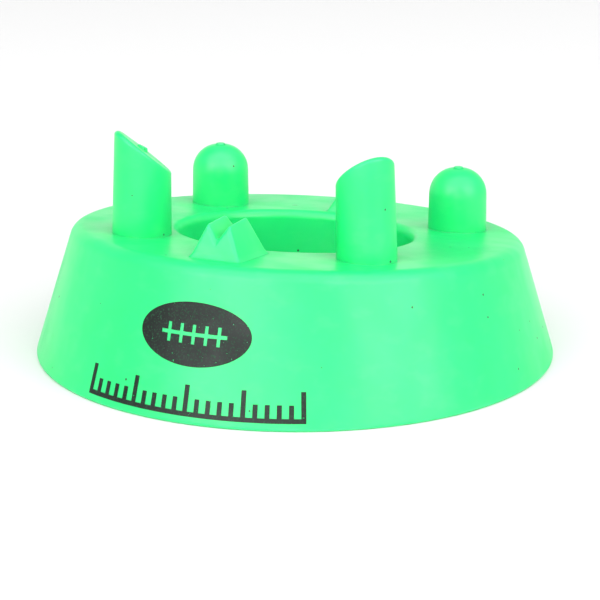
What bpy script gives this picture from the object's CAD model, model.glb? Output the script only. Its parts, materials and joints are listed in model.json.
import json
import math

import bmesh
import bpy
import numpy as np
from mathutils import Matrix, Vector


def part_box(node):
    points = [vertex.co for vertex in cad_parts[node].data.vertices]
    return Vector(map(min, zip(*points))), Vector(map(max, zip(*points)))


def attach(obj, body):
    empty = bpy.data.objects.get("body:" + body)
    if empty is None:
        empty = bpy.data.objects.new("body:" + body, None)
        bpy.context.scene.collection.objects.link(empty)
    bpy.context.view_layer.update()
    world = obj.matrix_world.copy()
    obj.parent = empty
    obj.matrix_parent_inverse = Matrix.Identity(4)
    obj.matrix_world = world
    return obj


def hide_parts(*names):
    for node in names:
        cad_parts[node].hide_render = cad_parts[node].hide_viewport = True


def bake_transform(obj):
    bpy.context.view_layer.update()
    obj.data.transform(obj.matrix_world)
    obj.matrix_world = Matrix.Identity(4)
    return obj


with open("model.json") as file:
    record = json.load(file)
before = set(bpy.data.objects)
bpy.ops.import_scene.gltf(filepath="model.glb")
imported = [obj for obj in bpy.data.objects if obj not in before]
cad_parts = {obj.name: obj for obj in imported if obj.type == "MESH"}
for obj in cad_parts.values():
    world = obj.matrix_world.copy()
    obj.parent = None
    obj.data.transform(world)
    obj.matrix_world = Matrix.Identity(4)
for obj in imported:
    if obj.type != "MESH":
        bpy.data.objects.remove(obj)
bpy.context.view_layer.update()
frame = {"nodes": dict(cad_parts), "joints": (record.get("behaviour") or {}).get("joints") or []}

# A kicking tee: one glossy green rubber moulding with a print on its skirt.  Metres, +Z up, the
# ground at Z = 0, -Y towards the target.  Sizes that the boxes of the frame don't give are here.
MM = 0.001
BASE_RADIUS = 75 * MM
SKIRT_LEAN = math.tan(math.radians(17))
SKIRT_WALL = 4 * MM
FOOT_ROUND = 0.8 * MM
DECK_PLATE = 4.5 * MM
RIM_ROUND = 4 * MM
LIP_ROUND = 2.2 * MM
TUBE_WALL = 3.5 * MM
INNER_ROUND = 1.0 * MM
FINE_ROUND = 0.3 * MM
ROOT_HEIGHT = 8 * MM
PRONG_DRAFT = math.tan(math.radians(1))
TALL_RADIUS, TALL_RISE, TALL_NUB = 8.35 * MM, 24.2 * MM, 0.9 * MM
SEAT_SLOPE = math.tan(math.radians(39.8))
SEAT_TURN = math.radians(5)     # the seat cuts face this much more sideways than straight inward
TALL_LEAN = (0.028, -0.010)     # the tall prongs lean a little towards the middle, per metre up
LOW_RADIUS, LOW_RISE, LOW_NUB = 8.55 * MM, 18.1 * MM, 0.4 * MM
LOW_DOME = 7.6 * MM
NUB_RADIUS, NUB_ROUND = 1.4 * MM, 0.35 * MM
FOOT_FILLET = 0.1 * MM
SIGHT_LEAN = math.tan(math.radians(17))
SIGHT_FLARE = 35                # a sight's foot spreads at this angle to the ground
SIGHT_KNEE, SIGHT_SUNK, SIGHT_ROUND = 0.5 * MM, 0.8 * MM, 1.4 * MM
SIGHT_CROWN = 0.5 * MM          # what the rounding takes off a ridge
GATE_MARK = (-17.4 * MM, 40.1 * MM, 31.4 * MM)
SUNK = 1.5 * MM                 # how far prongs go into the deck, out of sight
SEAT_EDGE = 1.0 * MM            # the rounded edge of a seat cut
NUB_FOOT, NUB_TOP = 1.15, 0.45  # where a nub's foot and flat top are, in nub radii from its axis
NOTCH_CREST = [(3.2 * MM, 0), (0, -4.5 * MM), (-3.1 * MM, 0)]
NOTCH_FLANK, POST_FLANK = 24.2, 30.4    # how far the sights' flanks lean, in degrees
SPECK_SPACING, SPECK_SIZE = 6 * MM, 0.06        # a speck's radius is a share of the spacing
TRIM_LOW, TRIM_HIGH = 0.9 * MM, 1.6 * MM        # the trimmed edge of the foot ends between these
SOFTBOX_DISTANCE = 2.0
SOFTBOX_AIM = Vector((0, 0, 30 * MM))


# ---- The frame: where the deck and the prongs are -----------------------------------------------

def hinge_of(body):
    joint = next(j for j in frame["joints"] if j["child"] == body)
    return Vector(joint["pos_m"])


tall_hinge, low_hinge = hinge_of("tall_left"), hinge_of("low_left")
DECK_FALL = (tall_hinge.z - low_hinge.z) / (low_hinge.y - tall_hinge.y)
DECK_HEIGHT = tall_hinge.z - ROOT_HEIGHT / 2 + DECK_FALL * tall_hinge.y


def deck_at(y):
    return DECK_HEIGHT - DECK_FALL * y


# ---- Mesh helpers -------------------------------------------------------------------------------

def spaced(start, end, count, hold=0.0):
    """Points from start to end, the last left out; hold puts one more close to each end."""
    start, end = np.array(start, float), np.array(end, float)
    steps = list(np.arange(count) / count)
    length = np.linalg.norm(end - start)
    if hold and length > 4 * hold:
        steps = sorted(steps + [hold / length, 1 - hold / length])
    return [start + (end - start) * step for step in steps]


def rounded(corner, before, after, radius, count=8):
    """An arc in place of a corner, from the side of one direction to the side of the other."""
    corner = np.array(corner, float)
    before = np.array(before, float) / np.linalg.norm(before)
    after = np.array(after, float) / np.linalg.norm(after)
    half = math.acos(np.clip(before @ after, -1, 1)) / 2
    middle = before + after
    centre = corner + middle / np.linalg.norm(middle) * radius / math.sin(half)
    first = corner + before * radius / math.tan(half) - centre
    last = corner + after * radius / math.tan(half) - centre
    sweep = math.pi - 2 * half
    arc = [(math.sin(sweep * (1 - t)) * first + math.sin(sweep * t) * last) / math.sin(sweep)
           for t in np.linspace(0, 1, count + 1)]
    return [centre + offset for offset in arc]


def loops_to_mesh(name, loops, closed=False, cap_first=False, cap_last=False):
    """A mesh from equal loops of points; closed joins the last loop back to the first."""
    mesh = bpy.data.meshes.new(name)
    count = len(loops[0])
    points = [tuple(point) for loop in loops for point in loop]
    faces = []
    for row in range(len(loops) if closed else len(loops) - 1):
        here, there = row * count, ((row + 1) % len(loops)) * count
        for step in range(count):
            after = (step + 1) % count
            faces.append((here + step, here + after, there + after, there + step))
    if cap_first:
        faces.append(tuple(reversed(range(count))))
    if cap_last:
        faces.append(tuple(range(len(points) - count, len(points))))
    mesh.from_pydata(points, [], faces)
    mesh.shade_smooth()
    return mesh


def new_piece(name, mesh, material):
    work = bmesh.new()
    work.from_mesh(mesh)
    bmesh.ops.recalc_face_normals(work, faces=work.faces)
    work.to_mesh(mesh)
    work.free()
    piece = bpy.data.objects.new(name, mesh)
    bpy.context.scene.collection.objects.link(piece)
    mesh.materials.append(material)
    return piece


# ---- Materials ----------------------------------------------------------------------------------

class Wire:
    """A shader socket; arithmetic on it adds Math nodes."""

    def __init__(self, finish, socket):
        self.finish, self.socket = finish, socket

    def _math(self, operation, first, second):
        return self.finish.add("ShaderNodeMath", {"operation": operation}, {0: first, 1: second})

    def __add__(self, other):
        return self._math("ADD", self, other)

    def __sub__(self, other):
        return self._math("SUBTRACT", self, other)

    def __rsub__(self, other):
        return self._math("SUBTRACT", other, self)

    def __mul__(self, other):
        return self._math("MULTIPLY", self, other)

    def __lt__(self, other):
        return self._math("LESS_THAN", self, other)

    def __gt__(self, other):
        return self._math("GREATER_THAN", self, other)

    __radd__, __rmul__ = __add__, __mul__


class Finish:
    """The node tree of a material or of the world."""

    def __init__(self, owner):
        self.owner = owner
        owner.use_nodes = True
        self.tree = owner.node_tree
        self.tree.nodes.clear()

    def add(self, kind, settings=None, sockets=None, output=0):
        """Any node: its settings, what its sockets hold or are linked to, and the output wanted."""
        node = self.tree.nodes.new(kind)
        for name, value in (settings or {}).items():
            setattr(node, name, value)
        for name, value in (sockets or {}).items():
            if isinstance(value, Wire):
                self.tree.links.new(value.socket, node.inputs[name])
            else:
                node.inputs[name].default_value = value
        return Wire(self, node.outputs[output]) if node.outputs else None

    def place(self):
        """Where a point of the surface is on the piece, in metres."""
        return self.add("ShaderNodeTexCoord", output="Object")

    def noise(self, place, size, detail=2.0, stretch=(1, 1, 1)):
        """Noise from 0 to 1 whose lumps are about this many metres across."""
        scaled = self.add("ShaderNodeMapping", None, {"Vector": place, "Scale": stretch})
        return self.add("ShaderNodeTexNoise", None,
                        {"Vector": scaled, "Scale": 1 / size, "Detail": detail})

    def colours(self, factor, first, second):
        """From the first colour at factor 0 to the second at 1; each is a Wire or an RGB tuple."""
        first, second = ((*colour, 1) if isinstance(colour, tuple) else colour
                         for colour in (first, second))
        return self.add("ShaderNodeMix", {"data_type": "RGBA"},
                        {0: factor, 6: first, 7: second}, output=2)

    def spread(self, value, low, high):
        """0 below low, 1 above high, smooth between."""
        return self.add("ShaderNodeMapRange", {"interpolation_type": "SMOOTHSTEP"},
                        {"Value": value, "From Min": low, "From Max": high})

    def bump(self, height, distance, strength, under=None):
        """A bump from a height of 0 to 1, on top of another bump if there is one under it."""
        sockets = {"Height": height, "Distance": distance, "Strength": strength}
        if under is not None:
            sockets["Normal"] = under
        return self.add("ShaderNodeBump", None, sockets)

    def surface(self, sockets):
        shader = self.add("ShaderNodeBsdfPrincipled", None, sockets)
        self.add("ShaderNodeOutputMaterial", None, {"Surface": shader})
        return self.owner


def make_tee_rubber():
    """Glossy fluorescent green rubber: cloudy, a little uneven, with a few dark specks."""
    finish = Finish(bpy.data.materials.new("tee_rubber"))
    place = finish.place()
    clouds = finish.noise(place, 30 * MM, 3.0)
    handling = finish.noise(place, 14 * MM, 4.0, (1, 1, 0.4))
    colour = finish.colours(finish.spread(clouds, 0.3, 0.7), (0.006, 0.58, 0.145),
                            (0.009, 0.64, 0.165))
    smudges = finish.spread(finish.noise(place, 8 * MM, 5.0, (1, 1, 1.6)), 0.50, 0.72)
    colour = finish.colours(0.3 * smudges, colour, (0.045, 0.66, 0.19))
    cells = {"Vector": place, "Scale": 1 / SPECK_SPACING}
    from_speck = finish.add("ShaderNodeTexVoronoi", None, cells, output="Distance")
    chance = finish.add("ShaderNodeTexVoronoi", None, cells, output="Color")
    chance = finish.add("ShaderNodeSeparateColor", None, {"Color": chance}, output="Red")
    specks = (from_speck < SPECK_SIZE) * (chance > 0.5)
    colour = finish.colours(specks, colour, (0.010, 0.10, 0.035))
    height = finish.add("ShaderNodeSeparateXYZ", None, {"Vector": place}, output="Z")
    ragged = height + 1.2 * MM * finish.noise(place, 9 * MM)
    trimmed = finish.spread(ragged, TRIM_HIGH, TRIM_LOW)
    colour = finish.colours(0.35 * trimmed, colour, (0.10, 0.72, 0.28))
    roughness = (0.33 + 0.14 * finish.spread(handling, 0.35, 0.75)) + 0.25 * trimmed
    gate = finish.add("ShaderNodeVectorMath", {"operation": "DISTANCE"},
                      {0: place, 1: GATE_MARK}, output="Value")
    gate = finish.spread(gate, 1.1 * MM, 0.7 * MM)
    colour = finish.colours(0.7 * gate, colour, (0.004, 0.42, 0.09))
    ripple = finish.bump(finish.noise(place, 20 * MM), 0.9 * MM, 0.6)
    crumbs = 3 * trimmed * finish.noise(place, 0.8 * MM)
    grain = finish.noise(place, 1.6 * MM) + crumbs
    grain = finish.bump(grain + 6 * gate, 0.03 * MM, 0.35, ripple)
    return finish.surface({"Base Color": colour, "Roughness": roughness, "IOR": 1.5,
                           "Normal": grain, "Subsurface Weight": 0.5,
                           "Subsurface Radius": (0.3, 1.0, 0.6), "Subsurface Scale": 6 * MM})


def make_print_ink():
    """Black ink, thin enough to wear through in pinholes."""
    finish = Finish(bpy.data.materials.new("print_ink"))
    place = finish.place()
    wear = finish.noise(place, 0.9 * MM, 4.0)
    film = finish.noise(place, 9 * MM, 3.0)
    dots = finish.noise(place, 0.5 * MM, 3.0)
    thin = finish.spread(dots, 0.52, 0.72)
    colour = finish.colours(thin, (0.002, 0.006, 0.004), (0.006, 0.050, 0.020))
    roughness = 0.31 + 0.20 * finish.spread(film, 0.35, 0.65) + 0.25 * thin
    grain = finish.bump(dots, 0.05 * MM, 0.8)
    return finish.surface({"Base Color": colour, "Roughness": roughness, "Normal": grain,
                           "Specular IOR Level": 0.3, "Alpha": 1 - (wear > 0.70)})


def make_floor_finish():
    """A plain pale floor, a little cloudy."""
    finish = Finish(bpy.data.materials.new("pale_floor"))
    clouds = finish.noise(finish.place(), 0.4)
    colour = finish.colours(clouds, (0.68, 0.68, 0.68), (0.70, 0.70, 0.70))
    return finish.surface({"Base Color": colour, "Roughness": 0.6})


# ---- Cone, deck and well ------------------------------------------------------------------------

def shell_section(turn):
    """The cut face of the shell in one direction about Z, as (radius, height) points."""
    rise = -DECK_FALL * math.sin(turn)
    well_low, well_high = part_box("well_tube")
    tube = well_high.x
    bore = tube - TUBE_WALL
    foot_wall = SKIRT_WALL * math.sqrt(1 + SKIRT_LEAN ** 2)
    plate = DECK_PLATE * math.sqrt(1 + DECK_FALL ** 2)

    def skirt_meets(height, wall):
        radius = (BASE_RADIUS - wall - SKIRT_LEAN * height) / (1 + SKIRT_LEAN * rise)
        return radius, height + rise * radius

    down_skirt, up_skirt = (SKIRT_LEAN, -1), (-SKIRT_LEAN, 1)
    inward, outward = (-1, -rise), (1, rise)
    down, up = (0, -1), (0, 1)
    under = DECK_HEIGHT - plate
    inward_flat, outward_flat = (-1, 0), (1, 0)
    corners = [
        ((BASE_RADIUS, 0), inward_flat, up_skirt, FOOT_ROUND, 30),
        (skirt_meets(DECK_HEIGHT, 0), down_skirt, inward, RIM_ROUND, 12),
        ((bore, DECK_HEIGHT + rise * bore), outward, down, LIP_ROUND, 14),
        ((bore, well_low.z), up, outward_flat, FINE_ROUND, 2),
        ((tube, well_low.z), inward_flat, up, FINE_ROUND, 10),
        ((tube, under + rise * tube), down, outward, INNER_ROUND, 6),
        (skirt_meets(under, foot_wall), inward, down_skirt, INNER_ROUND, 10),
        ((BASE_RADIUS - foot_wall, 0), up_skirt, outward_flat, FINE_ROUND, 2),
    ]
    arcs = [rounded(*corner[:4]) for corner in corners]
    section = []
    for corner, arc, after in zip(corners, arcs, arcs[1:] + arcs[:1]):
        section += arc[:-1] + spaced(arc[-1], after[0], corner[4], 0.25 * MM)
    return section


def make_shell(material):
    """Skirt, deck and well as one skin, swept all round from their cut face."""
    turns = np.linspace(0, 2 * math.pi, 256, endpoint=False)
    sections = [shell_section(turn) for turn in turns]
    loops = [[(radius * math.cos(turn), radius * math.sin(turn), height)
              for turn, (radius, height) in zip(turns, ring)]
             for ring in zip(*sections)]
    shell = new_piece("tee_shell", loops_to_mesh("tee_shell", loops, closed=True), material)
    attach(shell, "base")
    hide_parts("skirt", "deck", "well_tube")


# ---- Prongs -------------------------------------------------------------------------------------

def prong_side(radius, turn, outward, top):
    """Where the side of a prong runs in one direction, as (radius, height above the deck) points.

    It starts inside the deck, has a very small round at the foot and ends at the height top."""
    across = math.sin(outward + turn)
    foot = -DECK_FALL * across * radius

    def at(level):
        """A point this far up, which follows the deck's slope at the foot and is level higher up."""
        share = max(0.0, 1 - max(level, 0) / ROOT_HEIGHT)
        return radius - PRONG_DRAFT * level, level + foot * share

    points = [(radius + FOOT_FILLET, foot - SUNK)]
    for step in range(6):
        lean = math.pi / 2 * step / 5
        flare, level = FOOT_FILLET * (1 - math.sin(lean)), FOOT_FILLET * (1 - math.cos(lean))
        points.append((at(level)[0] + flare, at(level)[1]))
    points += [at(level) for level in np.linspace(0.6 * MM, ROOT_HEIGHT, 14)]
    start = at(ROOT_HEIGHT)[1]
    for share in np.linspace(0, 1, 9)[1:]:
        level = start + (top - start) * share
        points.append((radius - PRONG_DRAFT * level, level))
    return points


def prong_top(radius, slope, top, edge):
    """From the side over the rounded edge and in to the nub's foot: (radius, height) points."""
    side = radius - PRONG_DRAFT * (top + slope * radius)
    corner = (side, top + slope * side)
    arc = rounded(corner, (PRONG_DRAFT, -1), (-1, -slope), edge, 10)
    nub = (NUB_RADIUS * NUB_FOOT, top + slope * NUB_RADIUS * NUB_FOOT)
    flat = spaced(arc[-1], nub, 9, 0.2 * MM)
    return arc, flat[1:] + [np.array(nub)]


def nub_points(slope, top, height):
    """The small vent nub on the axis, whose own top slopes half as much as the seat."""
    foot = top + slope * NUB_RADIUS
    level = top + height + slope / 2 * NUB_RADIUS
    points = [(NUB_RADIUS * 1.04, foot + 0.05 * MM)]
    for lean in np.linspace(0, math.pi / 2, 6):
        points.append((NUB_RADIUS - NUB_ROUND * (1 - math.cos(lean)),
                       max(level - NUB_ROUND * (1 - math.sin(lean)), min(foot, level))))
    return points + [(NUB_RADIUS * NUB_TOP, top + height + slope / 2 * NUB_RADIUS * NUB_TOP)]


def make_prong(kind, side, material):
    """A prong and its flexing foot as one mesh that bends between the deck and its own body."""
    body = f"{kind}_{side}"
    hinge = hinge_of(body)
    outward = math.atan2(hinge.y, hinge.x)
    base = deck_at(hinge.y)
    tall = kind == "tall"
    radius, top, nub = (TALL_RADIUS, TALL_RISE, TALL_NUB) if tall else (LOW_RADIUS, LOW_RISE, LOW_NUB)
    columns = []
    turns = np.linspace(0, 2 * math.pi, 128, endpoint=False)
    for turn in turns:
        towards = turn - math.copysign(SEAT_TURN, hinge.x)
        slope = SEAT_SLOPE * math.cos(towards) if tall else 0.0
        edge = SEAT_EDGE if tall else LOW_DOME
        arc, flat = prong_top(radius, slope, top, edge)
        column = prong_side(radius, turn, outward, arc[0][1])[:-1] + arc + flat
        columns.append(column + nub_points(slope, top, nub))
    lean_x, lean_y = TALL_LEAN if tall else (0.0, 0.0)
    lean_x = -math.copysign(lean_x, hinge.x)
    loops = [[(hinge.x + reach * math.cos(outward + turn) + lean_x * max(height, 0),
               hinge.y + reach * math.sin(outward + turn) + lean_y * max(height, 0),
               base + height) for turn, (reach, height) in zip(turns, ring)]
             for ring in zip(*columns)]
    mesh = loops_to_mesh(f"{body}_rubber", loops, cap_first=True, cap_last=True)
    prong = new_piece(f"{body}_rubber", mesh, material)
    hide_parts(f"{kind}_root_{side}", f"{kind}_prong_{side}")
    base + ROOT_HEIGHT
    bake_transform(prong)


# ---- Sights -------------------------------------------------------------------------------------

def make_sight(node, crest, flank, material):
    """A sight on the deck: ridges along Y with leaning flanks and ends that flare out at the foot.

    crest is the (x, height) points along the top, from the +X side, and flank is how far the
    flanks lean, in degrees."""
    low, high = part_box(node)
    inner, outer = sorted((low.y, high.y), key=abs)
    ahead = math.copysign(1, inner)
    ridge = high.z + SIGHT_CROWN
    flare = (SIGHT_KNEE + SIGHT_SUNK) / math.tan(math.radians(SIGHT_FLARE))

    def half_at(height):
        return crest[0][0] + (ridge - height) * math.tan(math.radians(flank))

    points, count = [], len(crest) + 2
    for end, towards in ((inner, ahead), (outer, -ahead)):
        knee = deck_at(end) + SIGHT_KNEE
        half = half_at(knee)
        walls = [(-half, knee), (half, knee)] + [(x, ridge + z) for x, z in crest]
        points += [(x, end + towards * (z - deck_at(end)) * SIGHT_LEAN, z) for x, z in walls]
        foot_y, foot_z = end + towards * (SIGHT_KNEE * SIGHT_LEAN - flare), deck_at(end) - SIGHT_SUNK
        points += [(-half - flare, foot_y, foot_z), (half + flare, foot_y, foot_z)]
    there = count + 2               # the first point of the outer end
    faces = [tuple(range(count)), tuple(range(there, there + count))]
    faces += [(i, (i + 1) % count, there + (i + 1) % count, there + i) for i in range(1, count)]
    feet = (count, count + 1, there + count + 1, there + count)
    knees = (0, 1, there + 1, there)
    faces += [(knees[i], knees[(i + 1) % 4], feet[(i + 1) % 4], feet[i]) for i in range(4)]
    faces.append(feet)
    mesh = bpy.data.meshes.new(f"{node}_rubber")
    mesh.from_pydata(points, [], faces)
    mesh.shade_smooth()
    sight = new_piece(f"{node}_rubber", mesh, material)
    edges = sight.modifiers.new("edges", "BEVEL")
    edges.width, edges.segments, edges.limit_method = SIGHT_ROUND, 6, "ANGLE"
    edges.angle_limit, edges.harden_normals = math.radians(25), True
    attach(sight, "base")
    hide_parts(node)


# ---- The tee ------------------------------------------------------------------------------------

rubber = make_tee_rubber()
ink = make_print_ink()
make_shell(rubber)
for side_name in ("left", "right"):
    make_prong("tall", side_name, rubber)
    make_prong("low", side_name, rubber)
make_sight("notch_sight", NOTCH_CREST, NOTCH_FLANK, rubber)
make_sight("post_sight", [(0, 0)], POST_FLANK, rubber)
for node_name, material in (("underside_webs", rubber), ("printed_mark", ink)):
    frame["nodes"][node_name].data.materials.clear()
    frame["nodes"][node_name].data.materials.append(material)


# ---- Floor, light and camera --------------------------------------------------------------------

def make_floor():
    """A flat square for the tee to stand on."""
    mesh = bpy.data.meshes.new("floor")
    mesh.from_pydata([(-4, -4, 0), (4, -4, 0), (4, 4, 0), (-4, 4, 0)], [], [(0, 1, 2, 3)])
    floor = bpy.data.objects.new("floor", mesh)
    bpy.context.scene.collection.objects.link(floor)
    mesh.materials.append(make_floor_finish())


def add_softbox(name, turn, lift, width, height, brightness):
    """A soft light at an angle about Z from the target side and an angle above the ground."""
    turn, lift = math.radians(turn), math.radians(lift)
    lamp = bpy.data.lights.new(name, "AREA")
    lamp.shape, lamp.size, lamp.size_y = "RECTANGLE", width, height
    lamp.energy = brightness * math.pi * width * height
    box = bpy.data.objects.new(name, lamp)
    bpy.context.scene.collection.objects.link(box)
    box.location = Vector((math.sin(turn) * math.cos(lift), -math.cos(turn) * math.cos(lift),
                           math.sin(lift))) * SOFTBOX_DISTANCE
    box.rotation_euler = (SOFTBOX_AIM - box.location).to_track_quat("-Z", "Y").to_euler()


def add_surround(near_ground, overhead):
    """White light from all round, brighter near the ground than overhead."""
    sky = Finish(bpy.data.worlds.new("studio"))
    direction = sky.add("ShaderNodeTexCoord", output="Generated")
    height = sky.add("ShaderNodeSeparateXYZ", None, {"Vector": direction}, output="Z")
    strength = near_ground - (near_ground - overhead) * sky.spread(height, 0.12, 0.55)
    light = sky.add("ShaderNodeBackground", None, {"Color": (1, 1, 1, 1), "Strength": strength})
    sky.add("ShaderNodeOutputWorld", None, {"Surface": light})
    bpy.context.scene.world = sky.owner


def add_camera(turn, lift, roll, distance, aim, lens):
    """A camera that looks at aim, from angles like a softbox's, and leans by roll."""
    turn, lift, roll = (math.radians(angle) for angle in (turn, lift, roll))
    back = Vector((math.sin(turn) * math.cos(lift), -math.cos(turn) * math.cos(lift), math.sin(lift)))
    right = Vector((0, 0, 1)).cross(back).normalized()
    up = back.cross(right)
    tilted_right = math.cos(roll) * right + math.sin(roll) * up
    tilted_up = math.cos(roll) * up - math.sin(roll) * right
    lens_data = bpy.data.cameras.new("camera")
    lens_data.lens, lens_data.sensor_width = lens, 36
    camera = bpy.data.objects.new("camera", lens_data)
    bpy.context.scene.collection.objects.link(camera)
    turned = Matrix((tilted_right, tilted_up, back)).transposed().to_4x4()
    camera.matrix_world = Matrix.Translation(Vector(aim) + back * distance) @ turned
    bpy.context.scene.camera = camera


make_floor()
add_surround(near_ground=0.90, overhead=0.48)
add_softbox("front_left", turn=-11, lift=20, width=1.5, height=1.2, brightness=3.1)
add_softbox("front_right", turn=69, lift=20, width=1.5, height=1.2, brightness=3.1)
add_softbox("front_low", turn=20, lift=6, width=0.7, height=0.4, brightness=5.0)
add_softbox("front_top", turn=30, lift=62, width=5.8, height=2.7, brightness=2.1)
add_softbox("behind", turn=203, lift=11, width=2.4, height=0.7, brightness=0.28)
add_camera(turn=23.04, lift=16.46, roll=0.264, distance=0.692,
           aim=(1.267 * MM, 0.539 * MM, 14.137 * MM), lens=143.39)
bpy.context.scene.view_settings.view_transform = "Standard"
